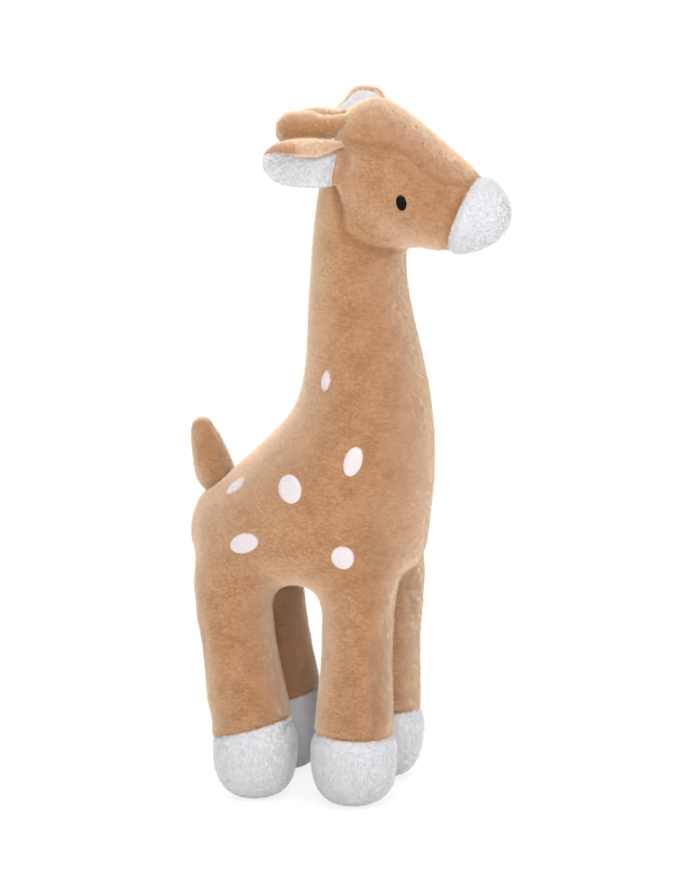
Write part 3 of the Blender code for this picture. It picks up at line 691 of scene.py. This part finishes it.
# Embroidered eyes and spots lie where their nodes are. The cloth under them has no pile, and a ring of
# pile round them is pressed short by the stitches.
SIDES = (("right", -1), ("left", 1))
SPOTS = ("neck", "shoulder", "back", "flank", "side", "rump")
spot_nodes = [f"spot_{name}_{label}" for name in SPOTS for label, _ in SIDES]
eye_nodes = [f"eye_{label}" for label, _ in SIDES]
grounds = {}     # the cloth that each oval, or an ear, lies on

# How some of the embroidery was hooped: lean of the long way towards the short, whether its rear or its
# front end is the higher, shift, and stretch of the long and the short way.
HOOPED = {
    "eye": (0.0, 1, (0, 0.0008, -0.0020), 1.0, 1.0),
    "shoulder": (0.10, -1, (0, 0, 0), 1.0, 1.0),
    "back": (0.30, 1, (0, 0.0006, 0), 1.02, 1.14),
    "flank": (0.12, -1, (0, 0.0016, -0.0010), 1.10, 1.08),
    "side": (0.0, 1, (0, 0, -0.0012), 1.0, 1.03),
}


def patch_frame(name):
    """An embroidered oval's middle, its long, short and outward directions, and its half sizes."""
    rows = points(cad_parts[name])
    middle = (rows.min(0) + rows.max(0)) / 2
    ways = np.linalg.eigh(np.cov((rows - rows.mean(0)).T))[1].T
    out, short, long = ways
    within = (0.0, -0.02, 0.33) if "eye" in name else (0.0, 0.02, middle[2])
    if (middle - np.array(within)) @ out < 0:
        out = -out
    halves = [np.ptp((rows - middle) @ way) / 2 for way in (long, short)]
    evenly = (0.0, 1, (0, 0, 0), 1.0, 1.0)
    lean, high, shift, longer, wider = HOOPED.get(name.split("_")[-2], evenly)
    if lean:
        tilts = [long + short * lean * turn for turn in (-1, 1)]
        long = max(tilts, key=lambda way: high * way[1] * way[2])
        long = long / np.linalg.norm(long)
        short = np.cross(out, long)
    return middle + np.array(shift), long, short, out, [halves[0] * longer, halves[1] * wider]


# How far out from an oval's middle the cloth bears no pile, as a share of the oval. The pile lies over
# the rims of two of the spots.
CLEAR, COVERED = 1.14, {"neck": 0.62, "rump": 0.78}
CLEAR_FADE = 0.2
PATCH_DEPTH = 0.010     # cloth this near to an oval's plane belongs to it


def lay_bare(made, names):
    """Marks the cloth under embroidery, and keeps its shape for the stitches to lie on."""
    rows = points(made)
    bare = noted(made, "bare")
    for name in names:
        middle, long, short, out, halves = patch_frame(name)
        off = rows - middle
        reach = np.hypot(off @ long / halves[0], off @ short / halves[1])
        near = np.abs(off @ out) < PATCH_DEPTH
        clear = COVERED.get(name.split("_")[-2], CLEAR)
        bare = np.maximum(bare, near * rising(reach, clear, -CLEAR_FADE))
    note(made, "bare", bare)
    form = bmesh.new()
    form.from_mesh(made.data)
    cloth = BVHTree.FromBMesh(form)
    form.free()
    for name in [made.name, *names]:
        grounds[name] = cloth


# Body and neck: two side panels that meet along the chest and the back, and a belly gusset between the
# legs, all with the nap running down and a little back. The neck is part of the side panels.
HIP_CUT = 0.1080     # below the belly, where each leg's tube leaves the body
NECK_CUT = 0.2480    # above the chest, where the head's cloth begins
BODY_NAP = np.array((0, 0.35, -1))
UP, DOWN = Vector((0, 0, 1)), Vector((0, 0, -1))
body = cut_from(skin, "plush_body", [((0, 0, HIP_CUT), DOWN), ((0, 0, NECK_CUT), UP)])
lay_bare(body, spot_nodes)
upholster(body, tan_plush, BODY_NAP, 11)
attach(body, "trunk")
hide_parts("body_panel_right", "body_panel_left", "belly_gusset", "body_filling")


# Legs and hooves: a tube of tan plush that runs down from the side panels, and a white cap sewn to its
# end. The fibre is packed through both. Each leg bends just below the belly.
LEG_NAP = np.array((0, 0.1, -1))
LEG_BEND = 0.030        # how far down from the hip a leg bends
HOOF_TOP = 0.07         # no hoof reaches up to here
SHORT_PILE = 0.6        # the white pile's length beside the tan one's
WHITE_GRAIN = 0.12      # how much its blades are seen one by one, which is less than on tan


def turned_nap(made, start, end, first, last):
    """A nap that turns from one way to another between two places."""
    along = np.array(end) - np.array(start)
    share = np.clip((points(made) - np.array(start)) @ along / (along @ along), 0, 1)[:, None]
    return first * (1 - share) + last * share


middle_y = (hoof_seams["front_right"][0].y + hoof_seams["rear_left"][0].y) / 2
for number, leg in enumerate(LEGS):
    side = -1 if leg.endswith("right") else 1
    fore = leg.startswith("front")

    def own_leg(place):
        return place.x * side > 0 and (place.y < middle_y) == fore

    def own_hoof(place):
        return own_leg(place) and place.z < HOOF_TOP

    seam_place, seam_up = hoof_seams[leg]
    cuts = [((0, 0, HIP_CUT), UP), (seam_place, -seam_up)]
    tube = cut_from(skin, f"plush_leg_{leg}", cuts, own_leg)
    nap = turned_nap(tube, (0, 0, HIP_CUT), (0, 0, HIP_CUT - LEG_BEND), BODY_NAP, LEG_NAP)
    upholster(tube, tan_plush, nap, 21 + 10 * number)
    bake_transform(tube, "trunk", f"leg_{leg}", start=(0, 0, HIP_CUT), end=(0, 0, HIP_CUT - LEG_BEND))
    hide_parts(f"leg_{leg}", f"leg_{leg}_filling")
    hoof = cut_from(skin, f"plush_hoof_{leg}", [(seam_place, seam_up)], own_hoof)
    upholster(
        hoof, white_plush, LEG_NAP, 61 + 10 * number, length=SHORT_PILE, grain=WHITE_GRAIN
    )
    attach(hoof, f"leg_{leg}")
    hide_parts(f"hoof_{leg}")


# Head: two cheek panels and a forehead gusset, sewn round the top of the neck, and a white muzzle cap
# sewn on in front. It is filled apart from the body, and turns on the neck.
HEAD_NAP, MUZZLE_NAP = np.array((0, 0.8, -0.6)), (0, 0.8, -0.2)
TURN_START, TURN_END = (0, -0.1195, 0.2070), (0, -0.1380, 0.2390)     # of the neck
head = cut_from(skin, "plush_head", [((0, 0, NECK_CUT), DOWN), MUZZLE_SEAM])
lay_bare(head, eye_nodes)
nap = turned_nap(head, TURN_START, TURN_END, BODY_NAP, HEAD_NAP)
upholster(head, tan_plush, nap, 101)
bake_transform(head, "trunk", "head", start=TURN_START, end=TURN_END)
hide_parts("head_panel_right", "head_panel_left", "forehead_gusset", "head_filling")
cuts = [((0, 0, NECK_CUT), DOWN), (MUZZLE_SEAM[0], -MUZZLE_SEAM[1])]
muzzle = cut_from(skin, "plush_muzzle", cuts)
upholster(muzzle, white_plush, MUZZLE_NAP, 111, length=SHORT_PILE, grain=WHITE_GRAIN)
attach(muzzle, "head")
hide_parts("muzzle_cap")
bpy.data.objects.remove(skin)


# Ears: a tan back and a white lining, sewn round the edge and lightly filled, so that the leaf curls.
# The back rolls over the upper edge. The wide root is sewn flat to the side of the head. The right ear
# hangs back, and the left one is flipped up, so that its lining lies on top.
EAR_LENGTH = 0.0510
EAR_ROOT = Vector((0.0262, -0.0024, 0.3483))
EAR_OUTLINES = {  # reach along the ear, and its width above and below the middle line, round the curl
    "right": (
        (0.0, 0.0244, 0.0156), (0.0020, 0.0244, 0.0158), (0.0100, 0.0244, 0.0166),
        (0.0220, 0.0232, 0.0172), (0.0320, 0.0222, 0.0168), (0.0390, 0.0198, 0.0150),
        (0.0445, 0.0155, 0.0116), (0.0485, 0.0096, 0.0070), (0.0510, 0.0016, 0.0016),
    ),
    "left": (
        (-0.0020, 0.0200, 0.0134), (0.0010, 0.0200, 0.0135), (0.0150, 0.0196, 0.0140),
        (0.0235, 0.0174, 0.0140), (0.0302, 0.0136, 0.0134), (0.0378, 0.0093, 0.0122),
        (0.0445, 0.0058, 0.0100), (0.0490, 0.0030, 0.0064), (0.0510, 0.0008, 0.0012),
    ),
}
EAR_WAYS = {  # from root to tip, and the way the lining faces
    "right": (Vector((-0.811, 0.547, 0.208)), Vector((-0.551, -0.594, -0.586))),
    "left": (Vector((0.840, 0.392, 0.375)), Vector((-0.340, -0.158, 0.927))),
}
EAR_ROLL = {"right": 0.0106, "left": 0.0}     # how much of the upper width is rolled over
EAR_CURL, ROLL_RADIUS = 0.022, 0.0045
SLANT_UP, SLANT_LOW = 1.50, 0.10    # how far the right ear's root slants back, above and below
SLANT_LIFT = 0.17                   # and how far it rises there
EAR_LININGS = {  # shares of the width below and above that a lining covers, its start and its end
    "right": (1.0, 0.66, 0.0050, EAR_LENGTH),
    "left": (0.80, 1.0, -0.0020, EAR_LENGTH - 0.0056),
}
EAR_STUFFING, LINING_STUFFING = 0.0026, 0.0016
LAYER_GAP = 0.0003      # from the middle of the leaf to either layer
EAR_RIM = 0.14          # the edge of the back, as a share of the leaf, that stands up round the lining
EAR_RIM_RISE = 0.0012
LINING_FADE = 0.12      # share of its length over which a lining swells from its root
SEWN_SHARE = 0.17       # share of an ear's length that is drawn down onto the head
SEWN_DEPTH = 0.0012     # how far its root is sewn into the head
EAR_BEND = 0.014        # how far from its root an ear bends
BACK_PILE, LINING_PILE = 0.75, 0.55     # length beside the body's pile
TIP_START, TIP_FADE, TIP_TRIM = 0.84, 0.12, 0.35    # the left ear's pile is cut shorter at its tip


def leaf(name, label, is_back, low, high, start, end):
    """One filled layer of an ear, the back's or the lining's, over a share of its width and length."""
    out, facing = EAR_WAYS[label]
    across = facing.cross(out).normalized()
    if label == "right":
        across = -across
    root = EAR_ROOT.copy()
    root.x *= -1 if label == "right" else 1
    form = bmesh.new()
    bmesh.ops.create_grid(form, x_segments=52, y_segments=40, size=1)
    along = form.verts.layers.float.new("along")
    aside = form.verts.layers.float.new("aside")
    bare = form.verts.layers.float.new("bare")
    for vert in form.verts:
        vert[along] = 1 - (1 - (vert.co.x + 1) / 2) ** 1.6
        vert[aside] = (vert.co.y + 1) / 2
    top = set(form.verts)
    bmesh.ops.extrude_face_region(form, geom=list(form.faces))
    reaches, above, below = zip(*EAR_OUTLINES[label])
    widest = max(above)
    for vert in form.verts:
        reach = start + (end - start) * vert[along]
        gone = (reach - reaches[0]) / (end - reaches[0])
        at = reach / end * EAR_LENGTH if reach > 0 else reach
        wide, deep = np.interp(at, reaches, above), np.interp(at, reaches, below)
        arc = -deep * low + (wide * high + deep * low) * vert[aside]
        flat = max(0.0, wide - EAR_ROLL[label] * sqrt(min(1.0, wide / widest)))
        curl = min(arc, flat) / EAR_CURL
        spot_across = EAR_CURL * sin(curl)
        spot_facing = EAR_CURL * (1 - cos(curl))
        if arc > flat:
            roll = (arc - flat) / ROLL_RADIUS
            spot_across += ROLL_RADIUS * (sin(curl + roll) - sin(curl))
            spot_facing += ROLL_RADIUS * (cos(curl) - cos(curl + roll))
            curl += roll
        normal = facing * cos(curl) - across * sin(curl)
        risen = min(max(arc, 0.0), flat)
        slant = (1 - gone) * (SLANT_UP * risen + SLANT_LOW * min(arc, 0.0))
        lift = (1 - gone) * SLANT_LIFT * risen
        back_shift = Vector((0, slant, lift)) if label == "right" else Vector((0, 0, 0))
        middle = root + back_shift + out * reach + facing * spot_facing + across * spot_across
        side_share = 2 * vert[aside] - 1
        fade = sqrt(max(0.0, 1 - side_share ** 4)) * sqrt(max(0.0, 1 - vert[along] ** 10))
        if is_back:
            rim = 1 - (1 - max(abs(side_share), vert[along])) / EAR_RIM
            if vert in top:
                depth = -(LAYER_GAP + EAR_STUFFING * fade)
            else:
                depth = EAR_RIM_RISE * max(0.0, rim) * fade
            # No pile grows where the lining covers the back, nor where the white edge shows past it.
            if label == "right":
                covered = vert not in top and rim < 0 and gone > 0.20
                white_edge = gone > 0.15 and vert[aside] < 0.05 or gone > 0.9 and vert[aside] < 0.5
            else:
                covered = vert not in top and rim < 0
                white_edge = vert[aside] > 0.95 and gone < 0.8
            vert[bare] = 1.0 if covered or white_edge else 0.0
        else:
            fade *= sqrt(min(1.0, vert[along] / LINING_FADE))
            depth = (LAYER_GAP + LINING_STUFFING * fade) if vert in top else 0.0
            vert[bare] = 0.0 if vert in top else 1.0
        place = middle + normal * depth
        sewn = max(0.0, 1 - gone / SEWN_SHARE)
        sewn = sewn * sewn * (3 - 2 * sewn)
        under, away, _, _ = grounds["plush_head"].find_nearest(place)
        vert.co = place.lerp(under - away * SEWN_DEPTH, sewn)
    bmesh.ops.recalc_face_normals(form, faces=form.faces)
    if form.calc_volume(signed=True) < 0:
        bmesh.ops.reverse_faces(form, faces=form.faces)
    return show(name, form)


for label, side in SIDES:
    out = EAR_WAYS[label][0]
    root = Vector((side * EAR_ROOT.x, EAR_ROOT.y, EAR_ROOT.z))
    start = EAR_OUTLINES[label][0][0]
    back = leaf(f"plush_ear_back_{label}", label, True, 1.0, 1.0, start, EAR_LENGTH)
    near_tip = rising(noted(back, "along"), TIP_START, TIP_FADE) if label == "left" else 0.0
    length = BACK_PILE - TIP_TRIM * near_tip
    upholster(back, tan_plush, tuple(out), 121 + 2 * side, length=length)
    lining = leaf(f"plush_ear_lining_{label}", label, False, *EAR_LININGS[label])
    upholster(
        lining, white_plush, tuple(out), 125 + 2 * side, length=LINING_PILE, grain=WHITE_GRAIN
    )
    for piece, part, slot in ((back, "back", "tan_plush"), (lining, "lining", "white_plush")):
        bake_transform(piece, "head", f"ear_{label}", start=root, end=root + out * EAR_BEND)
        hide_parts(f"ear_{part}_{label}")


# Horns and tail: small plush bags turned out through a narrow end, filled, and sewn on by that end.
# A horn is a round knob on a short stem. The tail is a stub that widens to its root.
HORN_FORM = (  # reach from the root, radius
    (-0.012, 0.0), (-0.012, 0.0060), (-0.004, 0.0057), (0.0, 0.0056), (0.003, 0.0062),
    (0.006, 0.0074), (0.009, 0.0086), (0.013, 0.0093), (0.018, 0.0096), (0.022, 0.0093),
    (0.0255, 0.0078), (0.0277, 0.0052), (0.0286, 0.0),
)
HORN_ROOT, HORN_LENGTH = (0.0105, 0.0086, 0.3628), 0.0296
HORN_SPLAY = 0.0010                             # from root to tip, outwards
HORN_DROP = {"right": 0.0042, "left": 0.0076}   # from root to tip, as both hang back
HORN_SINK = {"right": Vector((0, 0, 0)), "left": Vector((0, 0, -0.0012))}
HORN_PILE = 0.85                                # length beside the body's pile
TAIL_FORM = (
    (-0.0085, 0.0), (-0.0085, 0.0060), (-0.0050, 0.0086), (-0.0010, 0.0101), (0.004, 0.0101),
    (0.010, 0.0092), (0.017, 0.0080), (0.023, 0.0067), (0.0275, 0.0051), (0.0300, 0.0030),
    (0.0308, 0.0),
)
TAIL_ROOT, TAIL_LENGTH, TAIL_LEAN = Vector((0, 0.0754, 0.1672)), 0.0315, radians(17)
TAIL_NAP = (0, 0.2, -1)
HORN_BEND, TAIL_BEND = 0.3, 0.35                # share of the length over which each bends


def stuffed_bag(name, profile, root, tip):
    """A closed round form spun from a profile of reach and radius, on an axis from root to tip."""
    form = bmesh.new()
    verts = [form.verts.new((radius, 0, reach)) for reach, radius in profile]
    edges = [form.edges.new(pair) for pair in zip(verts, verts[1:])]
    bmesh.ops.spin(
        form, geom=verts + edges, cent=(0, 0, 0), axis=(0, 0, 1), angle=2 * pi, steps=20, use_merge=True
    )
    bmesh.ops.remove_doubles(form, verts=form.verts, dist=1e-6)
    bmesh.ops.recalc_face_normals(form, faces=form.faces)
    turn = (Vector(tip) - Vector(root)).to_track_quat("Z", "Y").to_matrix().to_4x4()
    bmesh.ops.transform(form, matrix=Matrix.Translation(root) @ turn, verts=form.verts)
    made = show(name, form)
    round_off = made.modifiers.new("round", "SUBSURF")
    round_off.levels = round_off.render_levels = 2
    return settle(made)


for label, side in SIDES:
    root = Vector((side * HORN_ROOT[0], HORN_ROOT[1], HORN_ROOT[2]))
    drop, sink = HORN_DROP[label], HORN_SINK[label]
    tip = root + Vector((side * HORN_SPLAY, sqrt(HORN_LENGTH ** 2 - drop ** 2), -drop))
    horn = stuffed_bag(f"plush_horn_{label}", HORN_FORM, root + sink, tip + sink)
    upholster(horn, tan_plush, tuple(tip - root), 141 + 3 * side, length=HORN_PILE)
    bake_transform(horn, "head", f"horn_{label}", start=root, end=root + (tip - root) * HORN_BEND)
    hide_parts(f"horn_{label}")

tail_tip = TAIL_ROOT + Vector((0, sin(TAIL_LEAN), cos(TAIL_LEAN))) * TAIL_LENGTH
tail = stuffed_bag("plush_tail", TAIL_FORM, TAIL_ROOT, tail_tip)
upholster(tail, tan_plush, TAIL_NAP, 151)
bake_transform(tail, "trunk", "tail", start=TAIL_ROOT, end=TAIL_ROOT + (tail_tip - TAIL_ROOT) * TAIL_BEND)
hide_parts("tail")
bpy.data.objects.remove(TUFT)


# Embroidery: satin stitch, threads laid side by side across an oval and pulled down at its edge, so that
# it domes and its rim sinks into the pile. White spots on the body, black ovals for the eyes.
STITCH = 0.00042        # one thread to the next
RIDGE = 0.30            # how high a thread rounds, as a share of that
STITCH_SINK = 0.0003    # how far the rim is pulled into the cloth
SPOT_RISE, EYE_RISE = 0.0012, 0.0014
CLOTH_SEARCH = 0.012    # the cloth under an oval is looked for from this far out


def satin_stitch(name, oval, material, rise):
    """An oval of threads over the cloth."""
    middle, long, short, out, halves = patch_frame(oval)
    cloth = grounds[oval]
    threads = max(8, round(2 * halves[0] / STITCH))
    form = bmesh.new()
    bmesh.ops.create_grid(form, x_segments=threads * 4, y_segments=14, size=1)
    for vert in form.verts:
        x, y = vert.co.x, vert.co.y
        chord = sqrt(max(0.0, 1 - x * x))
        place = Vector(middle + long * (x * halves[0]) + short * (y * chord * halves[1]))
        away = Vector(out)
        hit = cloth.ray_cast(place + away * CLOTH_SEARCH, -away)[0] or place
        ridge = abs(cos(pi * threads * (x + 1) / 2)) * STITCH * RIDGE
        dome = rise * sqrt(max(0.0, 1 - x * x)) * sqrt(max(0.0, 1 - y ** 4))
        vert.co = hit + away * (dome + ridge * (1 - y ** 6) - STITCH_SINK)
    bmesh.ops.recalc_face_normals(form, faces=form.faces)
    made = show(name, form)
    faces = made.data.polygons
    if faces[len(faces) // 2].normal.dot(Vector(out)) < 0:
        made.data.flip_normals()
    made.data.materials.append(material)
    return made


def embroidery_thread(name, colour, dark, gloss):
    """Trilobal polyester embroidery thread, laid as satin stitch: smooth filaments side by side, which give
    a soft shine across the threads and a fine line between them."""
    material = bpy.data.materials.new(name)
    material.use_nodes = True
    tree = material.node_tree
    shader = tree.nodes["Principled BSDF"]
    place = node(tree, "ShaderNodeTexCoord").outputs["Object"]
    uneven = node(tree, "ShaderNodeTexNoise", {"Vector": place, "Scale": 1 / 0.0012, "Detail": 2.0})
    tone = node(tree, "ShaderNodeMapRange", {"Value": uneven, "From Min": 0.35, "From Max": 0.65})
    mixed = node(
        tree, "ShaderNodeMix", {"Factor": tone, "A": linear(dark), "B": linear(colour)},
        data_type="RGBA",
    )
    tree.links.new(mixed.outputs[2], shader.inputs["Base Color"])
    shader.inputs["Roughness"].default_value = 0.5
    shader.inputs["Specular IOR Level"].default_value = gloss
    return material


white_thread = embroidery_thread("white_embroidery_thread", "c6bdbf", "beb5b7", 0.2)
black_thread = embroidery_thread("black_embroidery_thread", "070505", "030202", 0.08)
for oval in spot_nodes:
    spot = satin_stitch(f"stitched_{oval}", oval, white_thread, SPOT_RISE)
    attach(spot, "trunk")
    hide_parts(oval)
for oval in eye_nodes:
    eye = satin_stitch(f"stitched_{oval}", oval, black_thread, EYE_RISE)
    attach(eye, "head")
    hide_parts(oval)


# The studio: a pale paper floor, three soft lamps, and a camera far off with a long lens. Floor and
# backdrop are white only to the camera, to gloss and through glass, and add little light to the toy.
CAMERA_BACK = Vector((-0.9229, -0.2998, 0.2420))    # the way from the toy to the camera
CAMERA_AIM = Vector((0.0, 0.00035, 0.1868))
CAMERA_DISTANCE = 8.0
PICTURE_HEIGHT = 0.4744     # what the picture holds from top to bottom at the toy
SENSOR = 36                 # mm
lens = bpy.data.cameras.new("camera")
lens.lens = SENSOR * CAMERA_DISTANCE / PICTURE_HEIGHT
lens.clip_start, lens.clip_end = 1.0, 30.0
camera = bpy.data.objects.new("camera", lens)
camera.location = CAMERA_AIM + CAMERA_BACK * CAMERA_DISTANCE
camera.rotation_mode = "QUATERNION"
camera.rotation_quaternion = CAMERA_BACK.to_track_quat("Z", "Y")
bpy.context.scene.collection.objects.link(camera)
bpy.context.scene.camera = camera



def seen_straight(tree):
    """1 for what the camera sees, and what gloss and glass show it, and 0 for light on the toy."""
    ray = node(tree, "ShaderNodeLightPath").outputs
    seen = node(
        tree, "ShaderNodeMath", {0: ray["Is Camera Ray"], 1: ray["Is Glossy Ray"]},
        operation="MAXIMUM",
    )
    return node(
        tree, "ShaderNodeMath", {0: seen, 1: ray["Is Transmission Ray"]}, operation="MAXIMUM"
    )


form = bmesh.new()
bmesh.ops.create_circle(form, cap_ends=True, segments=64, radius=8)
floor = show("floor", form)
# Matt white paper.
paper = bpy.data.materials.new("paper_floor")
paper.use_nodes = True
tree = paper.node_tree
tree.nodes.clear()
share = node(tree, "ShaderNodeMath", {0: seen_straight(tree), 1: 0.8}, operation="MULTIPLY")
matt = node(tree, "ShaderNodeBsdfDiffuse", {"Color": (0.9, 0.9, 0.9, 1)})
glow = node(tree, "ShaderNodeEmission", {"Color": (1, 1, 1, 1), "Strength": 1.03})
mixed = node(tree, "ShaderNodeMixShader", {0: share, 1: matt.outputs[0], 2: glow.outputs[0]})
node(tree, "ShaderNodeOutputMaterial", {"Surface": mixed})
floor.data.materials.append(paper)

world = bpy.data.worlds.new("studio")
bpy.context.scene.world = world
world.use_nodes = True
tree = world.node_tree
tree.nodes.clear()
strength = node(
    tree, "ShaderNodeMix", {"Factor": seen_straight(tree), "A": 0.77, "B": 1.0}, data_type="FLOAT"
)
sky = node(tree, "ShaderNodeBackground", {"Color": (1, 1, 1, 1), "Strength": strength.outputs[0]})
node(tree, "ShaderNodeOutputWorld", {"Surface": sky})


LAMP_AIM = Vector((0, 0, 0.18))


def softbox(name, place, size, power):
    """A square studio lamp that looks at the toy."""
    lamp = bpy.data.lights.new(name, "AREA")
    lamp.shape = "SQUARE"
    lamp.size = size
    lamp.energy = power
    made = bpy.data.objects.new(name, lamp)
    made.location = place
    made.rotation_mode = "QUATERNION"
    made.rotation_quaternion = (Vector(place) - LAMP_AIM).to_track_quat("Z", "Y")
    bpy.context.scene.collection.objects.link(made)


softbox("key", (-1.0, -0.6, 1.5), 1.2, 21)
softbox("fill", (1.1, 0.7, 1.2), 1.4, 24)
softbox("front", (-1.93, -0.68, 0.58), 0.7, 15.5)

bpy.context.scene.view_settings.view_transform = "Standard"
